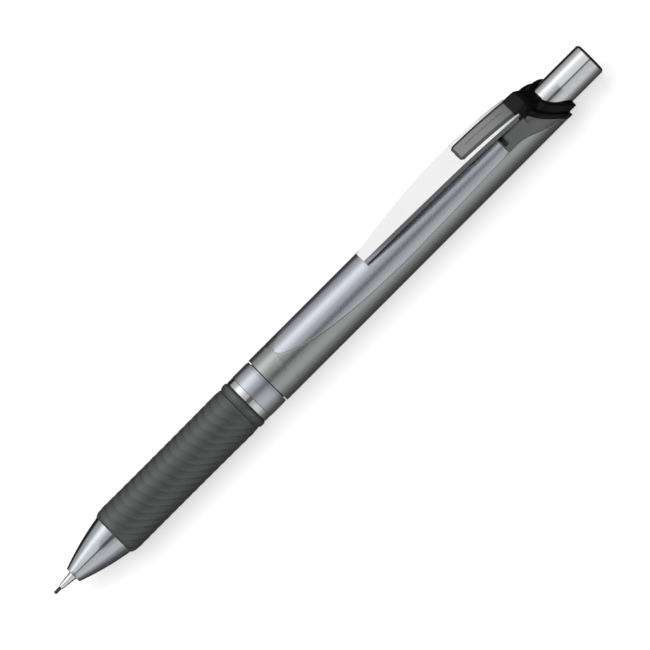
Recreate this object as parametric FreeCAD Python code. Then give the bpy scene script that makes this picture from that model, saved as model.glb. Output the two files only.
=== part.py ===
import FreeCAD, Part
import math
import os

# Lead holder with a push button, a rubber grip and a pocket clip. Millimetres.
# +X runs along the axis from the writing point (the origin) to the button, and +Z points to the clip.

V = FreeCAD.Vector
ORIGIN = V(0, 0, 0)
AXIS = V(1, 0, 0)

# ---- fits: the gap on the radius, or end to end
PRESS_GAP = 0.01
RUNNING_GAP = 0.05
EASY_GAP = 0.10
STOP_GAP = 0.05

# ---- lead
LEAD_DIAMETER = 0.7
LEAD_SHOWING = 1.6
LEAD_LENGTH = 60.0
SPARE_LEADS = 3
SPARE_LEAD_START = 4.0

# ---- writing end
GUIDE_LENGTH = 3.3
GUIDE_FRONT_WALL = 0.18
GUIDE_TAPER = 0.38
GUIDE_SHANK = 1.5
GUIDE_SHANK_WALL = 0.75
NOSE_LENGTH = 10.85
NOSE_FRONT_WALL = 0.55
NOSE_BULGE = 0.27
NOSE_STEP = 0.10
NOSE_STRETCHES = 3
RETAINER_LENGTH = 1.6
RETAINER_WALL = 0.98
RETAINER_MOUTH = 0.35
RETAINER_PINCH = 0.02
RETAINER_PINCH_HALF = 0.3

# ---- clutch
PRESS_TRAVEL = 2.4
RING_TRAVEL = 0.8
JAW_ROOM_RADIUS = 1.95
JAW_COUNT = 3
JAW_HEAD_RADIUS = 1.65
JAW_HEAD_LENGTH = 3.0
JAW_HEAD_TAPER = math.radians(8.9)
JAW_ARM_RADIUS = 0.98
JAW_LENGTH = 9.6
JAW_SLOT = 0.25
RING_LENGTH = 2.8
RING_RADIUS = 2.3
RING_REAR_BORE = 1.25
SHANK_LENGTH = 10.0
JAW_ROOM_GAP = 0.4
JAW_END_GAP = 0.6
JAW_HEAD_SHOWING = 0.8
JAW_GRIP_GAP = 0.02
JAW_TO_SHANK = 0.03
RING_BORE_GAP = 0.03
RING_TO_HOUSING = 0.2
SHANK_WALL_STEP = 0.02

# ---- clutch housing, spring and lead tube
HOUSING_LENGTH = 18.8
HOUSING_FLANGE = 1.2
HOUSING_WALL = 0.48
SPRING_WIRE = 0.35
SPRING_LENGTH = 11.6
SPRING_TURNS = 6
SPRING_INSET = 0.18
TUBE_WALL = 0.5
TUBE_SHORT_OF_BUTTON = 3.0
LEAD_ROOM = 0.15

# ---- barrel, liner and bands
BARREL_DIAMETER = 10.42
BARREL_WALL = 0.91
BARREL_LENGTH = 74.85
BARREL_STRAIGHT = 27.0
BARREL_REAR_DROP = 0.04
STUB_LENGTH = 3.4
STUB_WALL = 0.85
SPIGOT_LENGTH = 9.0
LINER_WALL = 1.1
LINER_SLEEVE_GAP = 0.02
LINER_LEAD_IN = 0.25
BAND_GAP = 0.20
BAND_LENGTH = 4.15
BAND_STEP = 0.07
BRIGHT_LENGTH = 1.45
BRIGHT_STEP = 0.13
BAND_EDGE = 0.15
BARREL_FRONT_EDGE = 0.25

# ---- rubber grip
GRIP_LENGTH = 35.3
GRIP_FRONT_WALL = 0.35
GRIP_SHOULDER_WALL = 0.78
GRIP_REAR_WALL = 0.84
GRIP_BEAD_WALL = 0.98
GRIP_BEAD_WIDTH = 1.3
GRIP_GROOVE_WIDTH = 0.6
GRIP_GROOVE = 0.28
GRIP_NOSE_TAPER = 1.1
GRIP_BEAD_BACK = 0.2
GRIP_BEAD_EDGE = 0.35
GRIP_REAR_DROP = 0.25

# ---- leaf panel let into the barrel in front of the clip and under it
LEAF_START = 4.65
LEAF_SHORT_OF_COLLAR = 5.65
LEAF_WIDEST_AT = 30.5
LEAF_HALF_ANGLE = 63.5
LEAF_TAIL_ANGLE = 55.8
LEAF_DEPTH = 0.26
LEAF_TAIL_CURVE = 1.3
LEAF_NOSE_TURNS = (3, 20, 38, 58, 78)
LEAF_TAIL_SECTIONS = 3

# ---- clip
CLIP_LENGTH = 39.5
CLIP_CROWN_AT = 23.6
CLIP_TIP_HEIGHT = 1.84
CLIP_CROWN_HEIGHT = 3.44
CLIP_ROOT_HEIGHT = 1.94
CLIP_DEPTH = 1.40
CLIP_SHEET = 0.50
CLIP_TIP_HALF_WIDTH = 1.20
CLIP_HALF_WIDTH = 2.86
CLIP_ROOT_HALF_WIDTH = 2.62
CLIP_WIDEST_AT = 30.6
CLIP_BEAD_RADIUS = 0.65
CLIP_BEAD_AT = 2.6
CLIP_BEAD_GAP = 0.06
CLIP_BEAD_CONE = 0.4
CLIP_SOLID_ROOT = 4.0
INSERT_LENGTH = 13.2
INSERT_FRONT_HALF_WIDTH = 2.05
INSERT_REAR_HALF_WIDTH = 2.20
INSERT_RISE = 0.32
INSERT_SLOPE = 0.30
INSERT_CORNER = 0.9
INSERT_GAP = 0.02
INSERT_FLOOR_GAP = 0.01

# ---- collar, saddle and plug at the rear
COLLAR_REACH = 6.75
COLLAR_LEAN = math.radians(46.7)
COLLAR_BEND_RADIUS = 6.8
COLLAR_TOE_DROP = 0.75
COLLAR_STEP = 0.04
COLLAR_RING = 1.6
COLLAR_REAR_RING = 1.6
COLLAR_REAR_WALL = 0.88
BOSS_LENGTH = 8.4
BOSS_SLOPE = 3.9
BOSS_BACK_RADIUS = 4.0
BOSS_TAIL_HALF_WIDTH = 2.0
BOSS_TAIL_ROUND = 1.2
BOSS_TOP_DROP = 0.05
BOSS_BACK_DROP = 0.1
BOSS_FOOT = 0.4
SADDLE_ANGLE = 55.8
SADDLE_LEVEL = 3.9
SADDLE_SLOPE = math.radians(24.5)
SADDLE_BEND_RADIUS = 8.0
BASE_FOOT_SHARE = 0.7
BASE_SETBACK = 1.3
BASE_GAP = 0.3
BASE_TOP_HALF_WIDTH = 2.60
BASE_FOOT_HALF_WIDTH = 3.55
PLUG_LENGTH = 20.0
PLUG_WALL = 0.73

# ---- button and eraser
BUTTON_WALL = 0.40
BUTTON_PROUD = 11.3
BUTTON_LENGTH = 16.0
BUTTON_END_WALL = 0.8
BUTTON_END_ROUND = 0.65
HOLDER_LENGTH = 11.5
HOLDER_COLLAR = 4.0
HOLDER_WALL = 0.55
ERASER_LENGTH = 11.0
ERASER_DEPTH = 3.0
ERASER_EDGE = 0.3
HOLDER_SOCKET = 3.0
HOLDER_SETBACK = 0.8
HOLDER_FLOOR_GAP = 0.2
HOLDER_VENT_RADIUS = 0.8

# ---- stations along the axis, from the writing point rearwards
guide_x = LEAD_SHOWING
nose_x = guide_x + GUIDE_LENGTH
grip_x = nose_x + NOSE_LENGTH
bright_x = grip_x + GRIP_LENGTH
band_x = bright_x + BRIGHT_LENGTH
band_end = band_x + BAND_LENGTH
barrel_x = band_end + BAND_GAP
barrel_end = barrel_x + BARREL_LENGTH
retainer_x = nose_x + GUIDE_SHANK
retainer_end = retainer_x + RETAINER_LENGTH
jaw_room_x = retainer_end + JAW_ROOM_GAP
jaw_x = jaw_room_x + PRESS_TRAVEL + JAW_END_GAP
ring_x = jaw_x + JAW_HEAD_SHOWING
ring_end = ring_x + RING_LENGTH
ring_stop_x = ring_x - RING_TRAVEL - STOP_GAP
jaw_end = jaw_x + JAW_LENGTH
stub_x = grip_x - STUB_LENGTH
housing_x = ring_end + RING_TO_HOUSING
spring_x = housing_x + HOUSING_FLANGE
tube_x = spring_x + SPRING_LENGTH
housing_end = housing_x + HOUSING_LENGTH
button_end = barrel_end + BUTTON_PROUD
button_x = button_end - BUTTON_LENGTH
tube_end = button_x - TUBE_SHORT_OF_BUTTON
holder_x = button_x + HOLDER_SETBACK
collar_toe_x = barrel_end - COLLAR_REACH
leaf_x = barrel_x + LEAF_START
leaf_end = collar_toe_x - LEAF_SHORT_OF_COLLAR
leaf_length = leaf_end - leaf_x
clip_tip_x = collar_toe_x - CLIP_LENGTH

# ---- radii, from the barrel inwards and from the lead outwards
barrel_r = BARREL_DIAMETER / 2
barrel_rear_r = barrel_r - BARREL_REAR_DROP
bore_r = barrel_r - BARREL_WALL
liner_r = bore_r - PRESS_GAP
plug_r = bore_r - PRESS_GAP
plug_bore_r = plug_r - PLUG_WALL
button_r = plug_bore_r - EASY_GAP
button_bore_r = button_r - BUTTON_WALL
holder_r = button_bore_r - RUNNING_GAP
nose_rear_r = liner_r + GRIP_FRONT_WALL - NOSE_STEP
lead_r = LEAD_DIAMETER / 2
lead_bore_r = lead_r + RUNNING_GAP
spare_lead_at = LEAD_DIAMETER + LEAD_ROOM
tube_bore_r = spare_lead_at + lead_r + LEAD_ROOM
tube_r = tube_bore_r + TUBE_WALL
housing_bore_r = tube_r + EASY_GAP
housing_r = housing_bore_r + HOUSING_WALL
liner_bore_r = housing_r + LINER_SLEEVE_GAP
stub_r = liner_bore_r + STUB_WALL
guide_shank_r = lead_bore_r + GUIDE_SHANK_WALL
retainer_r = lead_r + RETAINER_WALL
shank_r = JAW_ARM_RADIUS + SHANK_WALL_STEP
arm_bore_r = lead_r + LEAD_ROOM
jaw_bore_r = lead_r + JAW_GRIP_GAP
spring_r = tube_r - SPRING_INSET - SPRING_WIRE / 2
nose_front_r = guide_shank_r + NOSE_FRONT_WALL
clip_tip_z = barrel_r + CLIP_TIP_HEIGHT
clip_crown_z = barrel_r + CLIP_CROWN_HEIGHT
clip_root_z = barrel_r + CLIP_ROOT_HEIGHT
FAR = 4 * barrel_r
OVERRUN = 1.0


def lathe_point(x, radius):
    return V(x, 0, radius)


def side_point(x, z):
    return V(x, 0, z)


def plan_point(x, y):
    return V(x, y, 0)


def turned(outline):
    """Solid of revolution through (x, radius) corners."""
    corners = [lathe_point(x, radius) for x, radius in outline]
    return Part.Face(Part.makePolygon(corners + corners[:1])).revolve(ORIGIN, AXIS, 360)


def bowed(x0, radius0, x1, radius1, bow, stretches):
    """Corners along a shallow curve that stands off its chord by bow at mid-length."""
    steps = []
    for number in range(stretches + 1):
        share = number / stretches
        radius = radius0 + (radius1 - radius0) * share + 4 * bow * share * (1 - share)
        steps.append((x0 + (x1 - x0) * share, radius))
    return steps


def rod(x0, x1, radius):
    return Part.makeCylinder(radius, x1 - x0, V(x0, 0, 0), AXIS)


def tube(x0, x1, outer, inner):
    return rod(x0, x1, outer).cut(rod(x0, x1, inner))


def rounded_face(corners, place):
    """Flat face through (a, b) corners; a third value rounds that corner."""
    stops = []
    for index, corner in enumerate(corners):
        here = place(corner[0], corner[1])
        if len(corner) == 2:
            stops.append((here, None, here))
            continue
        radius = corner[2]
        back = (place(*corners[index - 1][:2]) - here).normalize()
        ahead = (place(*corners[(index + 1) % len(corners)][:2]) - here).normalize()
        half = back.getAngle(ahead) / 2
        inwards = (back + ahead).normalize()
        reach = radius / math.tan(half)
        middle = here + inwards * (radius / math.sin(half) - radius)
        stops.append((here + back * reach, middle, here + ahead * reach))
    edges = []
    for index, (start, middle, end) in enumerate(stops):
        if middle is not None:
            edges.append(Part.Arc(start, middle, end).toShape())
        edges.append(Part.makeLine(end, stops[(index + 1) % len(stops)][0]))
    return Part.Face(Part.Wire(edges))


def across(face, half_width):
    """Prism of a side-view face, the same distance to both sides."""
    face.translate(V(0, -half_width, 0))
    return face.extrude(V(0, 2 * half_width, 0))


def upright(face, z0, z1):
    """Prism of a plan-view face between two heights."""
    face.translate(V(0, 0, z0))
    return face.extrude(V(0, 0, z1 - z0))


def behind_collar_edge(shift):
    """Everything to the rear of the collar's leaning front edge, moved rearwards by shift."""
    toe_z = clip_root_z - COLLAR_TOE_DROP
    bend_z = toe_z - COLLAR_REACH * math.tan(COLLAR_LEAN)
    toe_x = collar_toe_x + shift
    heel_x = barrel_end + shift
    rear_x = heel_x + FAR
    corners = [(toe_x, FAR), (toe_x, toe_z), (heel_x, bend_z, COLLAR_BEND_RADIUS),
               (heel_x, -FAR), (rear_x, -FAR), (rear_x, FAR)]
    return across(rounded_face(corners, side_point), FAR)


# ---- lead

def make_lead():
    return rod(0, LEAD_LENGTH, lead_r)


def make_spare_leads():
    start = max(LEAD_LENGTH, tube_x) + SPARE_LEAD_START
    sticks = []
    for number in range(SPARE_LEADS):
        angle = 2 * math.pi * number / SPARE_LEADS
        base = V(start, spare_lead_at * math.sin(angle), spare_lead_at * math.cos(angle))
        sticks.append(Part.makeCylinder(lead_r, tube_end - start - HOLDER_LENGTH, base, AXIS))
    return Part.makeCompound(sticks)


# ---- writing end, which screws off as one

def make_guide_tip():
    front_r = lead_bore_r + GUIDE_FRONT_WALL
    rear_r = front_r + GUIDE_TAPER
    outline = [(guide_x, lead_bore_r), (guide_x, front_r), (nose_x, rear_r),
               (nose_x, guide_shank_r), (nose_x + GUIDE_SHANK, guide_shank_r),
               (nose_x + GUIDE_SHANK, lead_bore_r)]
    return turned(outline)


def make_lead_retainer():
    waist = lead_r + RETAINER_PINCH
    mouth = lead_r + RETAINER_MOUTH
    middle = (retainer_x + retainer_end) / 2
    outline = [(retainer_x, mouth), (retainer_x, retainer_r),
               (retainer_end, retainer_r), (retainer_end, mouth),
               (middle + RETAINER_PINCH_HALF, waist), (middle - RETAINER_PINCH_HALF, waist)]
    return turned(outline)


def make_nose_cone():
    ring_room_r = liner_bore_r
    thread_r = stub_r + RUNNING_GAP
    outline = bowed(nose_x, nose_front_r, grip_x, nose_rear_r, NOSE_BULGE, NOSE_STRETCHES)
    outline += [(grip_x, thread_r), (stub_x - EASY_GAP, thread_r),
               (stub_x - EASY_GAP, ring_room_r), (ring_stop_x, ring_room_r),
               (ring_stop_x, JAW_ROOM_RADIUS), (jaw_room_x, JAW_ROOM_RADIUS),
               (jaw_room_x, lead_r + RETAINER_MOUTH), (retainer_end, lead_r + RETAINER_MOUTH),
               (retainer_end, retainer_r + PRESS_GAP), (retainer_x, retainer_r + PRESS_GAP),
               (retainer_x, guide_shank_r + PRESS_GAP), (nose_x, guide_shank_r + PRESS_GAP)]
    return turned(outline)


# ---- clutch

def make_chuck_blank():
    head_end = jaw_x + JAW_HEAD_LENGTH
    neck_r = JAW_HEAD_RADIUS - JAW_HEAD_LENGTH * math.tan(JAW_HEAD_TAPER)
    outline = [(jaw_x, jaw_bore_r), (jaw_x, JAW_HEAD_RADIUS),
               (head_end, neck_r), (head_end, JAW_ARM_RADIUS), (jaw_end, JAW_ARM_RADIUS),
               (jaw_end, arm_bore_r), (head_end, arm_bore_r), (head_end, jaw_bore_r)]
    return turned(outline)


def make_chuck_jaw(number):
    """One of the jaws that three saw cuts leave on the brass chuck."""
    half = math.pi / JAW_COUNT
    slot_offset = JAW_SLOT / 2 / math.sin(half)
    corners = [(0, slot_offset)]
    for angle in (-half, half):
        corners.append((FAR * math.sin(angle), slot_offset + FAR * math.cos(angle)))
    corners.insert(2, (0, FAR * 2))
    wedge = Part.Face(Part.makePolygon([V(jaw_x - OVERRUN, y, z) for y, z in corners + corners[:1]]))
    jaw = make_chuck_blank().common(wedge.extrude(V(JAW_LENGTH + 2 * OVERRUN, 0, 0)))
    jaw.rotate(ORIGIN, AXIS, 360 / JAW_COUNT * number)
    return jaw


def make_chuck_shank():
    return tube(jaw_end + JAW_TO_SHANK, jaw_end + SHANK_LENGTH, shank_r, arm_bore_r)


def make_clutch_ring():
    slope = math.tan(JAW_HEAD_TAPER)
    front_bore = JAW_HEAD_RADIUS - (ring_x - jaw_x) * slope + RING_BORE_GAP
    cone_end = ring_x + (front_bore - RING_REAR_BORE) / slope
    outline = [(ring_x, front_bore), (ring_x, RING_RADIUS), (ring_end, RING_RADIUS),
               (ring_end, RING_REAR_BORE), (cone_end, RING_REAR_BORE)]
    return turned(outline)


def make_clutch_housing():
    body = tube(housing_x, housing_end, housing_r, housing_bore_r)
    flange = tube(housing_x, spring_x, housing_r, RING_REAR_BORE)
    return body.fuse(flange).removeSplitter()


def make_clutch_spring():
    wire_r = SPRING_WIRE / 2
    coil_length = SPRING_LENGTH - SPRING_WIRE - 2 * STOP_GAP
    helix = Part.makeHelix(coil_length / SPRING_TURNS, coil_length, spring_r)
    corners = [V(spring_r + wire_r, 0, 0), V(spring_r, 0, wire_r),
               V(spring_r - wire_r, 0, 0), V(spring_r, 0, -wire_r)]
    section = Part.makePolygon(corners + corners[:1])
    coil = Part.Wire(helix.Edges).makePipeShell([section], True, True)
    coil.rotate(ORIGIN, V(0, 1, 0), 90)
    coil.translate(V(spring_x + STOP_GAP + wire_r, 0, 0))
    return coil


# ---- lead tube and what it carries

def make_lead_tube():
    socket_end = jaw_end + SHANK_LENGTH
    funnel_end = socket_end + (tube_bore_r - shank_r)
    outline = [(tube_x, shank_r + PRESS_GAP), (tube_x, tube_r), (tube_end, tube_r),
               (tube_end, tube_bore_r), (funnel_end, tube_bore_r), (socket_end, shank_r + PRESS_GAP)]
    return turned(outline)


def make_eraser_holder():
    collar_end = holder_x + HOLDER_COLLAR
    socket_x = tube_end - HOLDER_SOCKET
    wall_x = tube_end + HOLDER_FLOOR_GAP
    cup_x = collar_end - ERASER_DEPTH
    cup_r = holder_r - HOLDER_WALL
    socket_r = tube_r + HOLDER_WALL
    outline = [(socket_x, tube_r + PRESS_GAP), (socket_x, socket_r), (holder_x, socket_r),
               (holder_x, holder_r), (collar_end, holder_r), (collar_end, cup_r), (cup_x, cup_r),
               (cup_x, HOLDER_VENT_RADIUS), (wall_x, HOLDER_VENT_RADIUS), (wall_x, tube_r + PRESS_GAP)]
    return turned(outline)


def make_eraser():
    radius = holder_r - HOLDER_WALL - PRESS_GAP
    x0 = holder_x + HOLDER_COLLAR - ERASER_DEPTH
    x1 = x0 + ERASER_LENGTH
    outline = [(x0, 0), (x0, radius), (x1 - ERASER_EDGE, radius), (x1, radius - ERASER_EDGE), (x1, 0)]
    return turned(outline)


def make_push_button():
    edge = BUTTON_END_ROUND
    knee = edge * (1 - math.sqrt(0.5))
    inner_end = button_end - BUTTON_END_WALL
    outline = [(button_x, button_bore_r), (button_x, button_r), (button_end - edge, button_r),
               (button_end - knee, button_r - knee), (button_end, button_r - edge),
               (button_end, 0), (inner_end, 0), (inner_end, button_bore_r)]
    return turned(outline)


# ---- body: liner, bands, barrel and grip

def make_grip_liner():
    liner_end = barrel_x + SPIGOT_LENGTH
    wide_bore_r = liner_r - LINER_WALL
    outline = [(stub_x, liner_bore_r), (stub_x, stub_r - LINER_LEAD_IN), (stub_x + LINER_LEAD_IN, stub_r),
               (grip_x, stub_r), (grip_x, liner_r), (liner_end, liner_r), (liner_end, wide_bore_r),
               (housing_end, wide_bore_r), (housing_end, liner_bore_r)]
    return turned(outline)


def make_grip_sleeve():
    inner = liner_r + PRESS_GAP
    shoulder_r = liner_r + GRIP_SHOULDER_WALL
    rear_r = liner_r + GRIP_REAR_WALL
    bead_r = liner_r + GRIP_BEAD_WALL
    bead_end = bright_x - GRIP_BEAD_BACK
    bead_x = bead_end - GRIP_BEAD_WIDTH
    groove_x = bead_x - GRIP_GROOVE_WIDTH
    outline = [(grip_x, inner), (grip_x, liner_r + GRIP_FRONT_WALL), (grip_x + GRIP_NOSE_TAPER, shoulder_r),
               (groove_x, rear_r), ((groove_x + bead_x) / 2, rear_r - GRIP_GROOVE), (bead_x, rear_r),
               (bead_x + GRIP_BEAD_EDGE, bead_r), (bead_end - GRIP_BEAD_EDGE, bead_r),
               (bright_x, rear_r - GRIP_REAR_DROP), (bright_x, inner)]
    return turned(outline)


def make_ring(x0, x1, radius):
    """Plain ring on the liner with its rear edge broken."""
    inner = liner_r + PRESS_GAP
    outline = [(x0, inner), (x0, radius), (x1 - BAND_EDGE, radius), (x1, radius - BAND_EDGE), (x1, inner)]
    return turned(outline)


def leaf_half_angle(distance):
    """Half of the angle that the leaf panel covers, this far from its point, in radians."""
    if distance < LEAF_WIDEST_AT:
        share = 1 - distance / LEAF_WIDEST_AT
        return math.radians(LEAF_HALF_ANGLE) * math.sqrt(1 - share * share)
    share = (distance - LEAF_WIDEST_AT) / (leaf_length - LEAF_WIDEST_AT)
    return math.radians(LEAF_HALF_ANGLE - (LEAF_HALF_ANGLE - LEAF_TAIL_ANGLE) * share ** LEAF_TAIL_CURVE)


def make_leaf_wedge():
    """Solid whose walls run straight out from the axis along the leaf panel's outline."""
    distances = [LEAF_WIDEST_AT * (1 - math.cos(math.radians(turn))) for turn in LEAF_NOSE_TURNS]
    tail = leaf_length - LEAF_WIDEST_AT
    distances += [LEAF_WIDEST_AT + tail * step / LEAF_TAIL_SECTIONS for step in range(LEAF_TAIL_SECTIONS + 1)]
    sections = []
    for distance in distances:
        angle = leaf_half_angle(distance)
        side = V(leaf_x + distance, FAR * math.sin(angle), FAR * math.cos(angle))
        other = V(side.x, -side.y, side.z)
        foot = V(side.x, 0, 0)
        sections.append(Part.makePolygon([foot, side, V(side.x, 0, 2 * FAR), other, foot]))
    return Part.makeLoft(sections, True, False)


def barrel_skin(depth):
    """Shell of the barrel's own outer surface, this deep."""
    outer = [(barrel_x, barrel_r), (barrel_x + BARREL_STRAIGHT, barrel_r), (barrel_end, barrel_rear_r)]
    inner = [(x, radius - depth) for x, radius in reversed(outer)]
    return turned(inner + outer)


def make_leaf_panel():
    return barrel_skin(LEAF_DEPTH).common(make_leaf_wedge())


def make_saddle_side():
    """Everything above the flank line that parts the saddle from the barrel."""
    level = barrel_r * math.cos(math.radians(SADDLE_ANGLE))
    bend_x = leaf_end + SADDLE_LEVEL
    low_x = barrel_end + FAR / 2
    low_z = level - (low_x - bend_x) * math.tan(SADDLE_SLOPE)
    corners = [(leaf_end, level), (bend_x, level, SADDLE_BEND_RADIUS), (low_x, low_z),
               (low_x, FAR), (leaf_end, FAR)]
    return across(rounded_face(corners, side_point), FAR)


def make_barrel_tube():
    edge = BARREL_FRONT_EDGE
    outline = [(barrel_x, bore_r), (barrel_x, barrel_r - edge), (barrel_x + edge, barrel_r),
               (barrel_x + BARREL_STRAIGHT, barrel_r), (barrel_end, barrel_rear_r), (barrel_end, bore_r)]
    return turned(outline)


def make_barrel(leaf_panel):
    return make_barrel_tube().cut(leaf_panel).cut(make_saddle_side()).cut(behind_collar_edge(0))


# ---- clip end

def crowned_curve(start, crown, end, place):
    """Two arcs that meet level at the crown; each point is (x, height)."""
    edges = []
    for (x0, h0), (x1, h1) in ((start, crown), (crown, end)):
        level_x, level_h = crown
        far_x, far_h = (x0, h0) if (x1, h1) == crown else (x1, h1)
        drop = level_h - far_h
        radius = ((level_x - far_x) ** 2 + drop ** 2) / (2 * drop)
        middle_x = (x0 + x1) / 2
        middle_h = level_h - radius + math.sqrt(radius ** 2 - (middle_x - level_x) ** 2)
        edges.append(Part.Arc(place(x0, h0), place(middle_x, middle_h), place(x1, h1)).toShape())
    return edges


def clip_side(raise_by, inset, floor_z):
    """Prism under the clip's arched back, raised by a height and cut short by an inset at the tip."""
    tip_x = clip_tip_x
    root_x = barrel_end
    crown_x = tip_x + CLIP_CROWN_AT
    drop = (clip_crown_z - clip_root_z) * ((root_x - crown_x) / (collar_toe_x - crown_x)) ** 2
    root_z = clip_crown_z - drop
    points = [(tip_x, clip_tip_z + raise_by), (crown_x, clip_crown_z + raise_by), (root_x, root_z + raise_by)]
    edges = crowned_curve(*points, side_point)
    edges.append(Part.makeLine(side_point(*points[2]), side_point(root_x, floor_z)))
    edges.append(Part.makeLine(side_point(root_x, floor_z), side_point(tip_x, floor_z)))
    edges.append(Part.makeLine(side_point(tip_x, floor_z), side_point(*points[0])))
    prism = across(Part.Face(Part.Wire(edges)), FAR)
    return prism.cut(Part.makeBox(inset, 2 * FAR, 2 * FAR, V(tip_x, -FAR, 0))) if inset else prism


def clip_plan(inset):
    """Upright prism inside the clip's outline, set in by a wall."""
    tip_x = clip_tip_x
    root_x = barrel_end
    widest_x = tip_x + CLIP_WIDEST_AT
    points = [(tip_x, CLIP_TIP_HALF_WIDTH - inset), (widest_x, CLIP_HALF_WIDTH - inset),
              (root_x, CLIP_ROOT_HALF_WIDTH - inset)]
    left = crowned_curve(*points, plan_point)
    right = crowned_curve(*points, lambda x, y: plan_point(x, -y))
    ends = [Part.makeLine(plan_point(x, y), plan_point(x, -y)) for x, y in (points[0], points[2])]
    wire = Part.Wire(Part.__sortEdges__(left + right + ends))
    return upright(Part.Face(wire), 0, FAR)


def clip_layer(low, high):
    """The space between the clip's arched back lowered and raised by two heights."""
    return clip_side(high, 0, 0).cut(clip_side(low, 0, 0))


def insert_plan(inset):
    x0 = collar_toe_x - INSERT_LENGTH + inset
    x1 = barrel_end
    front = INSERT_FRONT_HALF_WIDTH - inset
    rear = INSERT_REAR_HALF_WIDTH - inset
    corners = [(x0, -front, INSERT_CORNER), (x1, -rear), (x1, rear), (x0, front, INSERT_CORNER)]
    return rounded_face(corners, plan_point)


def make_clip():
    plate = clip_layer(-CLIP_DEPTH, 0).common(clip_plan(0))
    hollow = clip_side(-CLIP_SHEET, CLIP_SHEET, 0).common(clip_plan(CLIP_SHEET))
    hollow = hollow.cut(Part.makeBox(FAR, 2 * FAR, 2 * FAR, V(collar_toe_x - CLIP_SOLID_ROOT, -FAR, 0)))
    window = upright(insert_plan(0), 0, FAR).common(clip_layer(-CLIP_SHEET, FAR))
    bead_foot = V(clip_tip_x + CLIP_BEAD_AT, 0, barrel_r + CLIP_BEAD_GAP)
    bead_top = bead_foot + V(0, 0, CLIP_BEAD_CONE)
    bead = Part.makeCone(CLIP_BEAD_RADIUS / 2, CLIP_BEAD_RADIUS, CLIP_BEAD_CONE, bead_foot)
    stem = Part.makeCylinder(CLIP_BEAD_RADIUS, clip_tip_z - CLIP_SHEET / 2 - bead_top.z, bead_top)
    clip = plate.cut(hollow).cut(window).fuse(bead.fuse(stem))
    return clip.cut(behind_collar_edge(-RUNNING_GAP)).removeSplitter()


def make_clip_insert():
    floor = -CLIP_SHEET + INSERT_FLOOR_GAP
    base = upright(insert_plan(INSERT_GAP), 0, FAR).common(clip_layer(floor, 0))
    lens = upright(insert_plan(INSERT_SLOPE), 0, FAR).common(clip_layer(floor, INSERT_RISE))
    return base.fuse(lens).cut(behind_collar_edge(-RUNNING_GAP)).removeSplitter()


def make_clip_saddle():
    shell = make_barrel_tube().common(make_saddle_side())
    top_z = clip_root_z - CLIP_DEPTH - BASE_GAP
    foot_z = barrel_r * BASE_FOOT_SHARE
    corners = [(-BASE_FOOT_HALF_WIDTH, foot_z), (-BASE_TOP_HALF_WIDTH, top_z),
               (BASE_TOP_HALF_WIDTH, top_z), (BASE_FOOT_HALF_WIDTH, foot_z)]
    base_x = leaf_end + BASE_SETBACK
    face = Part.Face(Part.makePolygon([V(base_x, y, z) for y, z in corners + corners[:1]]))
    base = face.extrude(V(barrel_end - base_x, 0, 0)).cut(rod(base_x - OVERRUN, barrel_end + OVERRUN, bore_r))
    return shell.fuse(base).cut(behind_collar_edge(0)).removeSplitter()


def make_tail_plug():
    plug_x = collar_toe_x - PLUG_LENGTH + COLLAR_REACH
    body = tube(plug_x, barrel_end + COLLAR_RING + COLLAR_REAR_RING, plug_r, plug_bore_r)
    return body.cut(behind_collar_edge(COLLAR_RING + COLLAR_REAR_RING / 2))


def make_boss():
    """The part of the collar that stands over the clip's root."""
    top_z = clip_root_z - BOSS_TOP_DROP
    boss_end = collar_toe_x + BOSS_LENGTH
    low_z = button_r - BOSS_FOOT
    front_x = collar_toe_x - OVERRUN
    side = [(front_x, low_z), (front_x, top_z),
            (boss_end - BOSS_SLOPE, top_z - BOSS_BACK_DROP, BOSS_BACK_RADIUS), (boss_end, low_z)]
    half = CLIP_ROOT_HALF_WIDTH
    plan = [(front_x, -half), (boss_end, -BOSS_TAIL_HALF_WIDTH, BOSS_TAIL_ROUND),
            (boss_end, BOSS_TAIL_HALF_WIDTH, BOSS_TAIL_ROUND), (front_x, half)]
    boss = across(rounded_face(side, side_point), FAR).common(upright(rounded_face(plan, plan_point), 0, FAR))
    return boss.removeSplitter()


def make_end_collar():
    front_x = collar_toe_x - OVERRUN
    far_x = barrel_end + FAR
    rear_r = plug_bore_r + COLLAR_REAR_WALL
    whole_length = COLLAR_RING + COLLAR_REAR_RING
    front_ring = rod(front_x, far_x, barrel_rear_r + COLLAR_STEP).cut(behind_collar_edge(COLLAR_RING))
    rear_ring = rod(front_x, far_x, rear_r).cut(behind_collar_edge(whole_length))
    whole = front_ring.fuse(rear_ring).fuse(make_boss()).common(behind_collar_edge(0))
    socket = rod(front_x, far_x, bore_r).cut(behind_collar_edge(COLLAR_RING + COLLAR_REAR_RING / 2))
    return whole.cut(socket).cut(rod(front_x, far_x, plug_bore_r)).removeSplitter()


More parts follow.
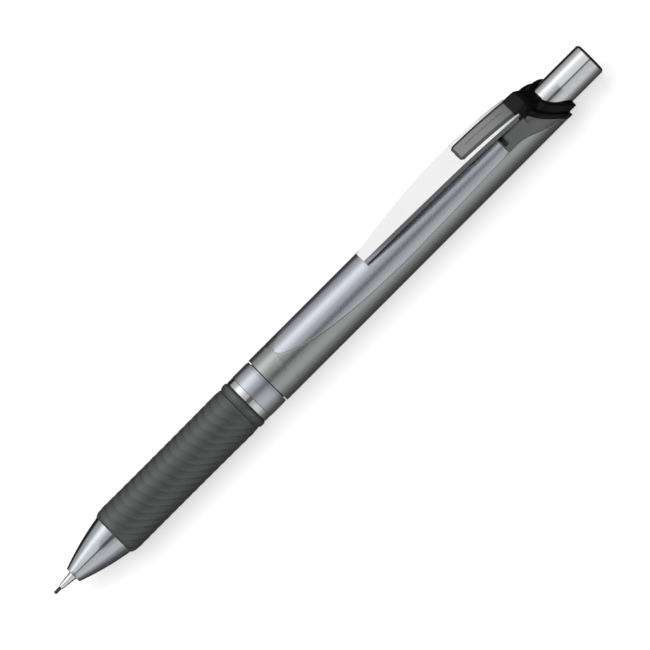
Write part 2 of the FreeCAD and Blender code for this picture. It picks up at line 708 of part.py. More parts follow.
leaf_panel = make_leaf_panel()
solids = {
    "lead": make_lead(),
    "spare_leads": make_spare_leads(),
    "guide_tip": make_guide_tip(),
    "lead_retainer": make_lead_retainer(),
    "nose_cone": make_nose_cone(),
    "chuck_shank": make_chuck_shank(),
    "clutch_ring": make_clutch_ring(),
    "clutch_housing": make_clutch_housing(),
    "clutch_spring": make_clutch_spring(),
    "lead_tube": make_lead_tube(),
    "eraser_holder": make_eraser_holder(),
    "eraser": make_eraser(),
    "push_button": make_push_button(),
    "grip_liner": make_grip_liner(),
    "grip_sleeve": make_grip_sleeve(),
    "bright_ring": make_ring(bright_x, band_x, barrel_r - BRIGHT_STEP),
    "centre_band": make_ring(band_x, band_end, barrel_r - BAND_STEP),
    "barrel": make_barrel(leaf_panel),
    "leaf_panel": leaf_panel,
    "clip": make_clip(),
    "clip_insert": make_clip_insert(),
    "clip_saddle": make_clip_saddle(),
    "tail_plug": make_tail_plug(),
    "end_collar": make_end_collar(),
}
for jaw_number in range(JAW_COUNT):
    solids[f"chuck_jaw_{jaw_number + 1}"] = make_chuck_jaw(jaw_number)

os.makedirs("parts", exist_ok=True)
for node, shape in solids.items():
    shape.exportStep(f"parts/{node}.step")
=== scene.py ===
import math

import bmesh
import bpy
from mathutils import Matrix, Vector


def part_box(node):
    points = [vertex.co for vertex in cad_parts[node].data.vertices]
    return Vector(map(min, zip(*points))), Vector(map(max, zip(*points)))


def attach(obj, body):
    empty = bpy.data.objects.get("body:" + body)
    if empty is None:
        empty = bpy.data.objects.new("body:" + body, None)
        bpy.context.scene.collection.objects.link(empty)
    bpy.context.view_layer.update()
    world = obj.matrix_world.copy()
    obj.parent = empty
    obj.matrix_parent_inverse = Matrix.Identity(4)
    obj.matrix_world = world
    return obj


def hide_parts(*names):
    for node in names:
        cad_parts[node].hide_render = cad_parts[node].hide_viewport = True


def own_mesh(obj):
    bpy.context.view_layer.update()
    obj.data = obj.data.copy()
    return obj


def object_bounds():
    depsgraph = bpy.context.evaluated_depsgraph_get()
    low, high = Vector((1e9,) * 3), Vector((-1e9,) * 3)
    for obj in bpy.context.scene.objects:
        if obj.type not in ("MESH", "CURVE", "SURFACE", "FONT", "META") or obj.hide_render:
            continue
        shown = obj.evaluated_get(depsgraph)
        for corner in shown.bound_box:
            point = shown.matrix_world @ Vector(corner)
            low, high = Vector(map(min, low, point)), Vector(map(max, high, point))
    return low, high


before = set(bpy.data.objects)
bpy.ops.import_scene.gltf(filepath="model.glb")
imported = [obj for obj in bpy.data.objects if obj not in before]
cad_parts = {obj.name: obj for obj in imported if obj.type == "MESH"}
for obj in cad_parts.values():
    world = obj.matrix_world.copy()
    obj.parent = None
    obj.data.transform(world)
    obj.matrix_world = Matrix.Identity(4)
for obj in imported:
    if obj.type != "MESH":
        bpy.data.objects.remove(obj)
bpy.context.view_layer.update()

# ---- lead
# The lead is a thin stick of graphite and clay, held by the clutch and fed forward through the guide tip.
# Writing has worn its end to a small rounded point. A turned outline makes it.

MM = 0.001
LEAD_POINT = 0.16 * MM
lead_low, lead_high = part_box("lead")
lead_radius = lead_high.z


class Signal:
    """A shader socket that adds a Math node whenever it is used in a sum or a product."""

    def __init__(self, nodes, socket):
        self.nodes = nodes
        self.socket = socket

    def combined(self, operation, left, right):
        return self.nodes.node("ShaderNodeMath", {"operation": operation}, {0: left, 1: right})

    def __add__(self, other):
        return self.combined("ADD", self, other)

    def __sub__(self, other):
        return self.combined("SUBTRACT", self, other)

    def __rsub__(self, other):
        return self.combined("SUBTRACT", other, self)

    def __mul__(self, other):
        return self.combined("MULTIPLY", self, other)

    def __truediv__(self, other):
        return self.combined("DIVIDE", self, other)

    def __gt__(self, other):
        return self.combined("GREATER_THAN", self, other)

    __radd__ = __add__
    __rmul__ = __mul__


class NodeTree:
    """A node tree, to which nodes are added one call at a time."""

    def __init__(self, tree):
        self.tree = tree

    def feed(self, socket, value):
        if isinstance(value, Signal):
            self.tree.links.new(value.socket, socket)
        else:
            socket.default_value = value

    def node(self, kind, settings=None, sockets=None, output=0):
        made = self.tree.nodes.new(kind)
        for name, value in (settings or {}).items():
            if name == "stops":
                for spare in range(len(value) - len(made.color_ramp.elements)):
                    made.color_ramp.elements.new(1)
                for element, (place, colour) in zip(made.color_ramp.elements, value):
                    element.position = place
                    element.color = (*colour, 1)
            else:
                setattr(made, name, value)
        for name, value in (sockets or {}).items():
            self.feed(made.inputs[name], value)
        return Signal(self, made.outputs[output])

    def place(self, axis=None):
        """The point on the piece in metres, or one of its three coordinates."""
        point = self.node("ShaderNodeTexCoord", output="Object")
        if axis is None:
            return point
        return self.node("ShaderNodeSeparateXYZ", {}, {"Vector": point}, axis)

    def noise(self, size, detail=2, stretch=(1, 1, 1)):
        """Soft random blotches about this size in metres, from 0 to 1."""
        scaled = self.node("ShaderNodeMapping", {}, {"Vector": self.place(), "Scale": stretch})
        return self.node("ShaderNodeTexNoise", {}, {"Vector": scaled, "Scale": 1 / size, "Detail": detail})

    def ramp(self, value, stops):
        """Value from 0 to 1 turned into a colour through stops of (place, colour)."""
        return self.node("ShaderNodeValToRGB", {"stops": stops}, {"Fac": value})

    def blend(self, share, first, second):
        """Colour that goes from first to second as share goes from 0 to 1."""
        return self.node("ShaderNodeMix", {"data_type": "RGBA"}, {0: share, 6: first, 7: second}, 2)

    def multiplied(self, first, second):
        """Two colours multiplied channel by channel."""
        mix = {"data_type": "RGBA", "blend_type": "MULTIPLY"}
        return self.node("ShaderNodeMix", mix, {0: 1.0, 6: first, 7: second}, 2)

    def spread(self, value, low, high):
        """Value from 0 to 1 stretched between two numbers."""
        return value * (high - low) + low


class Finish(NodeTree):
    """A material with one shader, whose constant sockets are set by name."""

    def __init__(self, name, constants):
        self.material = bpy.data.materials.new(name)
        self.material.use_nodes = True
        super().__init__(self.material.node_tree)
        self.shader = self.tree.nodes["Principled BSDF"]
        self.varies(constants)

    def varies(self, sockets):
        for name, value in sockets.items():
            self.feed(self.shader.inputs[name], value)

    def fed(self, name):
        """What one of the shader's sockets is fed with so far."""
        return Signal(self, self.shader.inputs[name].links[0].from_socket)

    def bumped(self, height, depth):
        """Relief of this depth in metres where height goes from 0 to 1."""
        bump = {"Height": height, "Strength": 1, "Distance": depth}
        self.varies({"Normal": self.node("ShaderNodeBump", {}, bump)})


def colour(red, green, blue):
    return (red, green, blue, 1)


def turned(outline, steps, rounding=0):
    """Shape turned about the X axis from (x, radius) points in metres; sharp edges get this rounding."""
    shape = bmesh.new()
    points = [shape.verts.new((x, 0, radius)) for x, radius in outline]
    open_ended = outline[0][1] == 0 and outline[-1][1] == 0
    ring = points if open_ended else points + points[:1]
    edges = [shape.edges.new(pair) for pair in zip(ring, ring[1:])]
    bmesh.ops.spin(shape, geom=points + edges, axis=(1, 0, 0), cent=(0, 0, 0),
                   angle=2 * math.pi, steps=steps, use_merge=True)
    bmesh.ops.remove_doubles(shape, verts=shape.verts, dist=1e-7)
    bmesh.ops.recalc_face_normals(shape, faces=shape.faces)
    if rounding:
        rounded(shape, rounding)
    return shape


def rounded(shape, width, sharper_than=25, segments=3, wanted=None):
    """Rounds the edges where faces meet at more than an angle in degrees, or only the wanted ones of them."""
    edges = [edge for edge in shape.edges if len(edge.link_faces) == 2
             and math.degrees(edge.calc_face_angle()) > sharper_than and (wanted is None or wanted(edge))]
    bmesh.ops.bevel(shape, geom=edges, offset=width, segments=segments, profile=0.5, affect="EDGES",
                    material=-1, clamp_overlap=True)


def finished(name, shape, body, finish, nodes, hard=40, evened=False):
    """The piece: its mesh smooth up to an angle, riding on its body in place of its CAD nodes."""
    mesh = bpy.data.meshes.new(name)
    shape.to_mesh(mesh)
    shape.free()
    mesh.shade_smooth()
    mesh.set_sharp_from_angle(angle=math.radians(hard))
    mesh.materials.append(finish.material)
    piece = bpy.data.objects.new(name, mesh)
    bpy.context.scene.collection.objects.link(piece)
    if evened:
        piece.modifiers.new("evened", "WEIGHTED_NORMAL").keep_sharp = True
    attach(piece, body)
    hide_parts(*nodes)
    return piece


graphite = Finish("graphite", {"Metallic": 0.35})
grain = graphite.noise(0.15 * MM, 4)
graphite.varies({"Base Color": graphite.blend(grain, colour(0.035, 0.035, 0.038), colour(0.085, 0.085, 0.09)),
                 "Roughness": graphite.spread(grain, 0.32, 0.55)})
graphite.bumped(grain, 0.006 * MM)

lead_outline = [(lead_low.x, 0), (lead_low.x, lead_radius - 1.6 * LEAD_POINT),
                (lead_low.x + 0.4 * LEAD_POINT, lead_radius - 0.5 * LEAD_POINT),
                (lead_low.x + 1.5 * LEAD_POINT, lead_radius), (lead_high.x, lead_radius), (lead_high.x, 0)]
finished("lead_stick", turned(lead_outline, 40), "lead_stick", graphite, ["lead"])


# ---- guide tip
# The guide tip is a short tapered steel tube pressed into the nose. It keeps the lead from snapping.
# It is turned and polished, with a tiny break at its mouth.

GUIDE_WALL = 0.10 * MM
LEAD_CLEARANCE = 0.05 * MM
GUIDE_TAPER = 0.40 * MM
guide_low, guide_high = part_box("guide_tip")
nose_low, nose_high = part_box("nose_cone")
guide_bore = lead_radius + LEAD_CLEARANCE
guide_mouth = guide_bore + GUIDE_WALL


def bright_metal(name, tint, polish, smear):
    """Plated metal: even, with faint handling smears in its gloss and hairlines too fine to see singly."""
    finish = Finish(name, {"Metallic": 1, "Specular IOR Level": 0.5})
    haze = finish.noise(3.5 * MM, 3, (0.45, 1, 1))
    lines = finish.noise(0.16 * MM, 2, (0.08, 1, 1))
    shade = finish.spread(haze, 0.0, 0.16)
    finish.varies({"Base Color": finish.blend(shade, colour(*tint), colour(*[part * 0.8 for part in tint])),
                   "Roughness": finish.spread(haze * 0.7 + lines * 0.3, polish, polish + smear)})
    finish.bumped(lines, 0.0006 * MM)
    return finish


guide_steel = bright_metal("guide_steel", (0.80, 0.80, 0.81), 0.07, 0.05)
guide_outline = [(guide_low.x, guide_bore), (guide_low.x, guide_mouth),
                 (nose_low.x, guide_mouth + GUIDE_TAPER),
                 (nose_low.x, guide_high.z), (guide_high.x, guide_high.z), (guide_high.x, guide_bore)]
finished("guide_pipe", turned(guide_outline, 64, 0.04 * MM), "nose", guide_steel,
         ["guide_tip"])


# ---- nose cone
# The nose is a chromed brass cone that screws onto the front of the liner. Its side swells a little.
# Inside it has the thread bore, the stop for the clutch ring and the room in which the jaws open.

NOSE_SWELL = 0.27 * MM
NOSE_FACE_WALL = 0.55 * MM
NOSE_STATIONS = 14
THREAD_DEPTH = 3.5 * MM
RING_ROOM_DEPTH = 4.4 * MM
JAW_ROOM_DEPTH = 7.35 * MM
JAW_ROOM_RADIUS = 1.95 * MM
LEAD_ROOM_RADIUS = 0.7 * MM
STUB_RADIUS = 3.30 * MM
retainer_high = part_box("lead_retainer")[1]
liner_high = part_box("grip_liner")[1]
housing_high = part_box("clutch_housing")[1]
nose_face = guide_high.z + NOSE_FACE_WALL


def swollen(start, end, swell, stations):
    """Points from one (x, radius) to another on a shallow curve, farthest off its chord at mid-length."""
    points = []
    for number in range(stations + 1):
        share = number / stations
        radius = start[1] + (end[1] - start[1]) * share + 4 * swell * share * (1 - share)
        points.append((start[0] + (end[0] - start[0]) * share, radius))
    return points


nose_chrome = bright_metal("nose_chrome", (0.56, 0.59, 0.625), 0.06, 0.06)
thread_bore = STUB_RADIUS + LEAD_CLEARANCE
nose_rear = nose_high.x
nose_outline = swollen((nose_low.x, nose_face), (nose_rear, nose_high.z), NOSE_SWELL, NOSE_STATIONS)
nose_outline += [(nose_rear, thread_bore), (nose_rear - THREAD_DEPTH, thread_bore),
                 (nose_rear - THREAD_DEPTH, housing_high.z), (nose_rear - RING_ROOM_DEPTH, housing_high.z),
                 (nose_rear - RING_ROOM_DEPTH, JAW_ROOM_RADIUS),
                 (nose_rear - JAW_ROOM_DEPTH, JAW_ROOM_RADIUS),
                 (nose_rear - JAW_ROOM_DEPTH, LEAD_ROOM_RADIUS), (retainer_high.x, LEAD_ROOM_RADIUS),
                 (retainer_high.x, retainer_high.z), (guide_high.x, retainer_high.z),
                 (guide_high.x, guide_high.z), (nose_low.x, guide_high.z)]
finished("nose_shell", turned(nose_outline, 128, 0.06 * MM), "nose", nose_chrome,
         ["nose_cone"])


# ---- clutch
# Three brass jaws on a split shank close on the lead when the clutch ring slides over their conical head.
# The rubber retainer in the nose stops the lead from falling back. All are small turned or moulded parts.


def dressed(node, finish):
    """A CAD node that shows as it is, with a finish in place of its plain one."""
    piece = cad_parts[node]
    piece.data.materials.clear()
    piece.data.materials.append(finish.material)


def moulded(name, tint, gloss, grain_size, depth, speckle=0.12):
    """Moulded plastic or rubber: a little uneven in tint and gloss, with a fine pressed-in skin."""
    finish = Finish(name, {})
    skin = finish.noise(grain_size, 3)
    cloud = finish.noise(6 * MM, 2)
    darker = colour(*[part * (1 - speckle) for part in tint])
    finish.varies({"Base Color": finish.blend(skin * 0.5 + cloud * 0.5, darker, colour(*tint)),
                   "Roughness": finish.spread(skin * 0.4 + cloud * 0.6, gloss, gloss + 0.12)})
    finish.bumped(skin, depth)
    return finish


chuck_brass = bright_metal("chuck_brass", (0.78, 0.60, 0.30), 0.18, 0.14)
for number in range(1, 4):
    dressed(f"chuck_jaw_{number}", chuck_brass)
dressed("chuck_shank", chuck_brass)
retainer_rubber = moulded("retainer_rubber", (0.03, 0.03, 0.032), 0.55, 0.2 * MM, 0.004 * MM)
dressed("lead_retainer", retainer_rubber)

RING_FRONT_BORE = 1.56 * MM
RING_REAR_BORE = 1.25 * MM
RING_REAR_RUN = 1.0 * MM
ring_low, ring_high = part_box("clutch_ring")
ring_chrome = bright_metal("ring_chrome", (0.74, 0.74, 0.76), 0.06, 0.06)
ring_outline = [(ring_low.x, RING_FRONT_BORE), (ring_low.x, ring_high.z), (ring_high.x, ring_high.z),
                (ring_high.x, RING_REAR_BORE), (ring_high.x - RING_REAR_RUN, RING_REAR_BORE)]
finished("clutch_ring_turned", turned(ring_outline, 72, 0.12 * MM), "ring", chuck_brass,
         ["clutch_ring"])


# ---- clutch housing and spring
# A plastic sleeve carries the steel return spring, which pushes the lead tube back after each press.
# The spring is round wire, wound in a loop; it shortens as the button goes in.

SPRING_TURNS = 6
SPRING_STEPS = 28
SPRING_WIRE = 0.35 * MM
housing_plastic = moulded("housing_plastic", (0.62, 0.63, 0.62), 0.35, 0.3 * MM, 0.003 * MM)
dressed("clutch_housing", housing_plastic)
spring_low, spring_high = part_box("clutch_spring")
spring_steel = bright_metal("spring_steel", (0.56, 0.57, 0.58), 0.2, 0.12)
spring_shape = bmesh.new()
wire_round = bmesh.ops.create_circle(spring_shape, segments=12, radius=SPRING_WIRE / 2)
wire_centre = (spring_low.x + SPRING_WIRE / 2, 0, spring_high.z - SPRING_WIRE / 2)
bmesh.ops.rotate(spring_shape, verts=wire_round["verts"], matrix=Matrix.Rotation(math.pi / 2, 3, "X"))
bmesh.ops.translate(spring_shape, verts=wire_round["verts"], vec=wire_centre)
spring_rise = (spring_high.x - spring_low.x - SPRING_WIRE) / (SPRING_TURNS * SPRING_STEPS)
bmesh.ops.spin(spring_shape, geom=spring_shape.verts[:] + spring_shape.edges[:], axis=(1, 0, 0),
               cent=(0, 0, 0),
               dvec=(spring_rise, 0, 0), angle=2 * math.pi * SPRING_TURNS, steps=SPRING_TURNS * SPRING_STEPS)
bmesh.ops.holes_fill(spring_shape, edges=[edge for edge in spring_shape.edges if edge.is_boundary])
bmesh.ops.recalc_face_normals(spring_shape, faces=spring_shape.faces)
spring = finished("return_spring", spring_shape, "root", spring_steel, ["clutch_spring"], 60)
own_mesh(spring)


# ---- lead tube, eraser and its holder
# The plastic lead tube joins the chuck to the rear and holds the spare leads. The eraser plugs its end.
# The holder is a moulded cup that the button slides over; the eraser is a white vinyl plug, a little worn.

tube_plastic = moulded("tube_plastic", (0.55, 0.57, 0.57), 0.28, 0.4 * MM, 0.002 * MM)
dressed("lead_tube", tube_plastic)
dressed("spare_leads", graphite)
dressed("eraser_holder", tube_plastic)
ERASER_EDGE = 0.35 * MM
eraser_low, eraser_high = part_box("eraser")
eraser_white = moulded("eraser_white", (0.80, 0.80, 0.77), 0.62, 0.35 * MM, 0.012 * MM, 0.06)
eraser_outline = [(eraser_low.x, 0), (eraser_low.x, eraser_high.z), (eraser_high.x, eraser_high.z),
                  (eraser_high.x, 0)]
finished("eraser_plug", turned(eraser_outline, 64, ERASER_EDGE), "plunger", eraser_white,
         ["eraser"])


# ---- push button
# The button is a drawn metal cap, chromed outside, that grips the eraser holder and pulls off to reach it.
# Its closed end has a rounded edge.

BUTTON_WALL = 0.40 * MM
BUTTON_END_WALL = 0.8 * MM
BUTTON_END_ROUND = 0.65 * MM
button_low, button_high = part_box("push_button")
button_radius = button_high.z
button_chrome = bright_metal("button_chrome", (0.68, 0.69, 0.70), 0.05, 0.05)
button_outline = [(button_low.x, button_radius - BUTTON_WALL), (button_low.x, button_radius)]
for number in range(9):
    turn = math.radians(90 * number / 8)
    button_outline.append((button_high.x - BUTTON_END_ROUND * (1 - math.sin(turn)),
                           button_radius - BUTTON_END_ROUND * (1 - math.cos(turn))))
button_outline += [(button_high.x, 0), (button_high.x - BUTTON_END_WALL, 0),
                   (button_high.x - BUTTON_END_WALL, button_radius - BUTTON_WALL)]
button_shape = turned(button_outline, 112)
rounded(button_shape, 0.06 * MM, 60, 2)
finished("button_cap", button_shape, "button", button_chrome, ["push_button"])


# ---- liner
# A brass tube lines the grip and joins it to the barrel. Its front stub carries the thread for the nose.
# Behind the band it is painted near black, as painted shade in the hairline joint where it shows.

LINER_BRIGHT_LAP = 0.5 * MM
liner_brass = bright_metal("liner_brass", (0.72, 0.58, 0.33), 0.22, 0.14)
band_low, band_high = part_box("centre_band")
# Painted shade: from just in front of the band's rear edge backwards, the liner's colour is near black,
# standing for the shadow in the gap.
painted_gap_shade = liner_brass.place(0) > band_high.x - LINER_BRIGHT_LAP
liner_brass.varies({"Base Color": liner_brass.blend(painted_gap_shade, liner_brass.fed("Base Color"),
                                                    colour(0.05, 0.05, 0.055))})
dressed("grip_liner", liner_brass)


# ---- grip sleeve
# The grip is a soft rubber sleeve over the liner, widening a little to the bead at its rear end.
# Shallow overlapping ribs curve round it, level with the clip at their foremost point.

GRIP_ROWS = 300
GRIP_STEPS = 168
GRIP_FRONT_WALL = 0.35 * MM
GRIP_SHOULDER_WALL = 0.78 * MM
GRIP_REAR_WALL = 0.84 * MM
GRIP_WAIST = 0.06 * MM
GRIP_BEAD_WIDTH = 1.3 * MM
GRIP_GROOVE_WIDTH = 0.6 * MM
GRIP_GROOVE = 0.16 * MM
RIB_PITCH = 1.85 * MM
RIB_SWEEP = 4.6 * MM
RIB_HEIGHT = 0.13 * MM
RIB_RISE = 0.16
RIB_FADE = 2.2 * MM
grip_low, grip_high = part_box("grip_sleeve")
liner_radius = liner_high.z
grip_rear_radius = liner_radius + GRIP_REAR_WALL
bead_start = grip_high.x - GRIP_BEAD_WIDTH - 0.2 * MM
groove_start = bead_start - GRIP_GROOVE_WIDTH


def rib_height(x, height_angle):
    """How far a rib stands out at a place along the grip and at an angle from the clip's side."""
    fade = min(1, (x - grip_low.x) / RIB_FADE, (groove_start - x) / (0.5 * RIB_FADE))
    if fade <= 0:
        return 0
    along = (x - grip_low.x - RIB_SWEEP * (1 - math.cos(height_angle))) / RIB_PITCH
    share = along - math.floor(along)
    wave = share / RIB_RISE if share < RIB_RISE else (1 - share) / (1 - RIB_RISE)
    return RIB_HEIGHT * fade * wave * (2 - wave)


grip_outline = [(grip_low.x, liner_radius), (grip_low.x, liner_radius + GRIP_FRONT_WALL),
                (grip_low.x + 0.35 * MM, liner_radius + GRIP_FRONT_WALL + 0.25 * MM),
                (grip_low.x + 0.8 * MM, liner_radius + GRIP_SHOULDER_WALL - 0.04 * MM)]
grip_outline += swollen((grip_low.x + 1.2 * MM, liner_radius + GRIP_SHOULDER_WALL),
                        (groove_start, grip_rear_radius), -GRIP_WAIST, GRIP_ROWS)
for number in range(1, 8):
    share = number / 8
    grip_outline.append((groove_start + GRIP_GROOVE_WIDTH * share,
                         grip_rear_radius - GRIP_GROOVE * math.sin(math.pi * share)))
grip_outline += [(bead_start, grip_rear_radius), (bead_start + 0.15 * MM, grip_rear_radius + 0.08 * MM)]
for number in range(9):
    turn = math.radians(180 * number / 8)
    grip_outline.append((bead_start + 0.3 * MM + 0.45 * MM * (1 - math.cos(turn)),
                         grip_rear_radius + 0.08 * MM + 0.07 * MM * math.sin(turn)))
grip_outline += [(grip_high.x, grip_rear_radius - 0.2 * MM), (grip_high.x, liner_radius)]
grip_shape = turned(grip_outline, GRIP_STEPS)
for vertex in grip_shape.verts:
    radius = math.hypot(vertex.co.y, vertex.co.z)
    if radius > liner_radius + 0.6 * GRIP_SHOULDER_WALL:
        height = rib_height(vertex.co.x, math.atan2(vertex.co.y, vertex.co.z))
        vertex.co.yz *= 1 + (height - 0.5 * RIB_HEIGHT * (height > 0)) / radius

grip_rubber = moulded("grip_rubber", (0.080, 0.089, 0.088), 0.34, 0.09 * MM, 0.004 * MM, 0.18)
aside, above = [grip_rubber.place(axis) for axis in (1, 2)]
off_axis = grip_rubber.node("ShaderNodeMath", {"operation": "SQRT"}, {0: aside * aside + above * above})
ribs = (grip_rubber.place(0) - (grip_low.x + RIB_SWEEP) + above / off_axis * RIB_SWEEP) * (1 / RIB_PITCH)
in_rib = grip_rubber.node("ShaderNodeMath", {"operation": "FRACT"}, {0: ribs})
# Painted shade: the rubber's colour is darkest in the groove between ribs, full on the crest and darker again
# down each rib's long back slope.
rib_painted_shade = grip_rubber.ramp(in_rib, [(0, (0.62,) * 3), (0.10, (1,) * 3), (0.55, (1.0,) * 3),
                                   (0.85, (0.85,) * 3), (1, (0.62,) * 3)])
grip_rubber.varies({"Base Color": grip_rubber.multiplied(grip_rubber.fed("Base Color"), rib_painted_shade),
                    "Specular IOR Level": 1.0})
finished("grip_ribbed", grip_shape, "root", grip_rubber, ["grip_sleeve"], 60)


# ---- bands between grip and barrel
# A narrow chromed ring and a wider satin silver band close the joint between the grip and the barrel.
# They are turned rings pressed on the liner; the band's rear edge has a bright bevel.

BAND_LIP = 0.42 * MM
bright_low, bright_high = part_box("bright_ring")
band_radius = band_high.z
bright_outline = [(bright_low.x, liner_radius), (bright_low.x, bright_high.z), (bright_high.x, bright_high.z),
                  (bright_high.x, liner_radius)]
finished("bright_ring_turned", turned(bright_outline, 128, 0.12 * MM), "root", ring_chrome,
         ["bright_ring"])
band_outline = [(band_low.x, liner_radius), (band_low.x, band_radius), (band_high.x - BAND_LIP, band_radius),
                (band_high.x - BAND_LIP, band_radius - 0.06 * MM),
                (band_high.x, band_radius - 0.06 * MM), (band_high.x, liner_radius)]
band_silver = bright_metal("band_silver", (0.54, 0.575, 0.62), 0.26, 0.08)
band_shape = turned(band_outline, 128)
rounded(band_shape, 0.07 * MM, 60, 3)
finished("silver_band", band_shape, "root", band_silver, ["centre_band"])


# ---- barrel
# The barrel is a moulded tube in metallic paint. A long leaf-shaped panel is let into its clip side, and
# behind that it is cut away for the saddle under the clip. Its rear end leans to meet the collar.

BARREL_STEPS = 144
PANEL_STEPS = 48
BARREL_STRAIGHT = 27.0 * MM
FRONT_ROWS = 6
LEAF_ROWS = 26
TAIL_ROWS = 10
LEAF_WIDEST = 30.5 * MM
LEAF_HALF_ANGLE = math.radians(63.5)
LEAF_TAIL_ANGLE = math.radians(55.8)
LEAF_RECESS = 0.28 * MM
SADDLE_LEVEL_RUN = 3.9 * MM
SADDLE_SLOPE = math.radians(24.5)
SADDLE_BEND = 8.0 * MM
COLLAR_LEAN = math.radians(46.7)
COLLAR_BEND = 6.8 * MM
COLLAR_TOE_DROP = 0.75 * MM
BARREL_WALL = 0.91 * MM
REAR_ROWS = 16
SKIN_EDGE = 0.05 * MM
PANEL_GAP = 0.03 * MM
barrel_low, barrel_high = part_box("barrel")
leaf_low, leaf_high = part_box("leaf_panel")
collar_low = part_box("end_collar")[0]
clip_low, clip_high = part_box("clip")
barrel_radius = barrel_high.y
barrel_rear_radius = barrel_radius - 0.04 * MM
toe_x = collar_low.x
heel_x = barrel_high.x
toe_z = barrel_radius + 1.94 * MM - COLLAR_TOE_DROP


def collar_edge(z):
    """Where the collar's front edge stands along the axis at a height: it leans, then turns upright."""
    corner_z = toe_z - (heel_x - toe_x) * math.tan(COLLAR_LEAN)
    reach = COLLAR_BEND * math.tan((math.pi / 2 - COLLAR_LEAN) / 2)
    lean_end_z = corner_z + reach * math.sin(COLLAR_LEAN)
    if z >= lean_end_z:
        return toe_x + (toe_z - z) / math.tan(COLLAR_LEAN)
    if z <= corner_z - reach:
        return heel_x
    rise = z - (corner_z - reach)
    return heel_x - COLLAR_BEND + math.sqrt(COLLAR_BEND ** 2 - rise ** 2)


def flank_angle(x):
    """Half of the angle that the leaf panel, or behind it the saddle, takes up round the barrel."""
    run = x - leaf_low.x
    if run < 0:
        return LEAF_HALF_ANGLE * min(1, math.sqrt(-run / (12 * MM)))
    if run < LEAF_WIDEST:
        return LEAF_HALF_ANGLE * math.sqrt(1 - (1 - run / LEAF_WIDEST) ** 2)
    if x <= leaf_high.x:
        share = (run - LEAF_WIDEST) / (leaf_high.x - leaf_low.x - LEAF_WIDEST)
        return LEAF_HALF_ANGLE - (LEAF_HALF_ANGLE - LEAF_TAIL_ANGLE) * share ** 1.3
    level = barrel_radius * math.cos(LEAF_TAIL_ANGLE)
    past_bend = x - leaf_high.x - SADDLE_LEVEL_RUN
    reach = SADDLE_BEND * math.tan(SADDLE_SLOPE / 2)
    drop = 0
    if past_bend > -reach:
        drop = min(past_bend + reach, 2 * reach) ** 2 / (4 * reach) * math.tan(SADDLE_SLOPE)
    if past_bend > reach:
        drop = past_bend * math.tan(SADDLE_SLOPE)
    return math.acos((level - drop) / barrel_radius)


def skin_angle(column, x):
    """Angle from the clip's side at which a column of the skin runs, so that one column is the flank."""
    flank = flank_angle(x)
    half = PANEL_STEPS // 2
    if column <= half:
        return flank * column / half
    others = BARREL_STEPS // 2 - half
    return flank + (math.pi - flank) * (column - half) / others


def barrel_radius_at(x):
    past = max(0, x - barrel_low.x - BARREL_STRAIGHT)
    taper_run = heel_x - barrel_low.x - BARREL_STRAIGHT
    return barrel_radius - (barrel_radius - barrel_rear_radius) * past / taper_run


LEAF, SADDLE = 1, 2


def barrel_skin(*kept):
    """The barrel's outer surface: one turned skin with columns slid to the flanks, cut to the kept regions."""
    tail = leaf_high.x - leaf_low.x - LEAF_WIDEST
    rows = [barrel_low.x + (leaf_low.x - barrel_low.x) * number / FRONT_ROWS for number in range(FRONT_ROWS)]
    leaf_start = len(rows)
    rows += [leaf_low.x + LEAF_WIDEST * (1 - math.cos(math.radians(90 * number / LEAF_ROWS)))
             for number in range(LEAF_ROWS + 1)]
    rows += [leaf_low.x + LEAF_WIDEST + tail * number / TAIL_ROWS for number in range(1, TAIL_ROWS + 1)]
    leaf_end = len(rows) - 1
    skin = bmesh.new()
    points = [skin.verts.new((index, 0, 1)) for index in range(leaf_end + REAR_ROWS + 1)]
    edges = [skin.edges.new(pair) for pair in zip(points, points[1:])]
    bmesh.ops.spin(skin, geom=points + edges, axis=(1, 0, 0), cent=(0, 0, 0),
                   angle=2 * math.pi, steps=BARREL_STEPS, use_merge=True)

    def column_of(point):
        return abs(math.atan2(point.y, point.z)) / (2 * math.pi) * BARREL_STEPS

    spare = []
    region = skin.faces.layers.int.new("region")
    for face in skin.faces:
        middle = face.calc_center_median()
        if column_of(middle) < PANEL_STEPS / 2 and middle.x > leaf_start:
            face[region] = LEAF if middle.x < leaf_end else SADDLE
        if face[region] not in kept:
            spare.append(face)
    for vertex in skin.verts:
        row = round(vertex.co.x)
        column = round(column_of(vertex.co))
        side = math.copysign(1, math.atan2(vertex.co.y, vertex.co.z))
        x = rows[min(row, leaf_end)]
        angle = skin_angle(column, x)
        for settle in range(12 if row > leaf_end else 0):
            edge = collar_edge(barrel_radius_at(x) * math.cos(angle))
            x = leaf_high.x + (edge - leaf_high.x) * (row - leaf_end) / REAR_ROWS
            angle = skin_angle(column, x)
        radius = barrel_radius_at(x)
        vertex.co = (x, side * radius * math.sin(angle), radius * math.cos(angle))
    bmesh.ops.delete(skin, geom=spare, context="FACES")
    bmesh.ops.remove_doubles(skin, verts=skin.verts, dist=1e-7)
    return skin


def sunk(shape, faces, depth, keep):
    """Pushes faces towards the axis, with walls round them; keep leaves the first faces in place as well."""
    pushed = bmesh.ops.extrude_face_region(shape, geom=faces, use_keep_orig=keep)
    for vertex in [item for item in pushed["geom"] if isinstance(item, bmesh.types.BMVert)]:
        radius = vertex.co.yz.length
        vertex.co.yz *= (radius - depth) / radius
    if not keep:
        bmesh.ops.delete(shape, geom=faces, context="FACES")


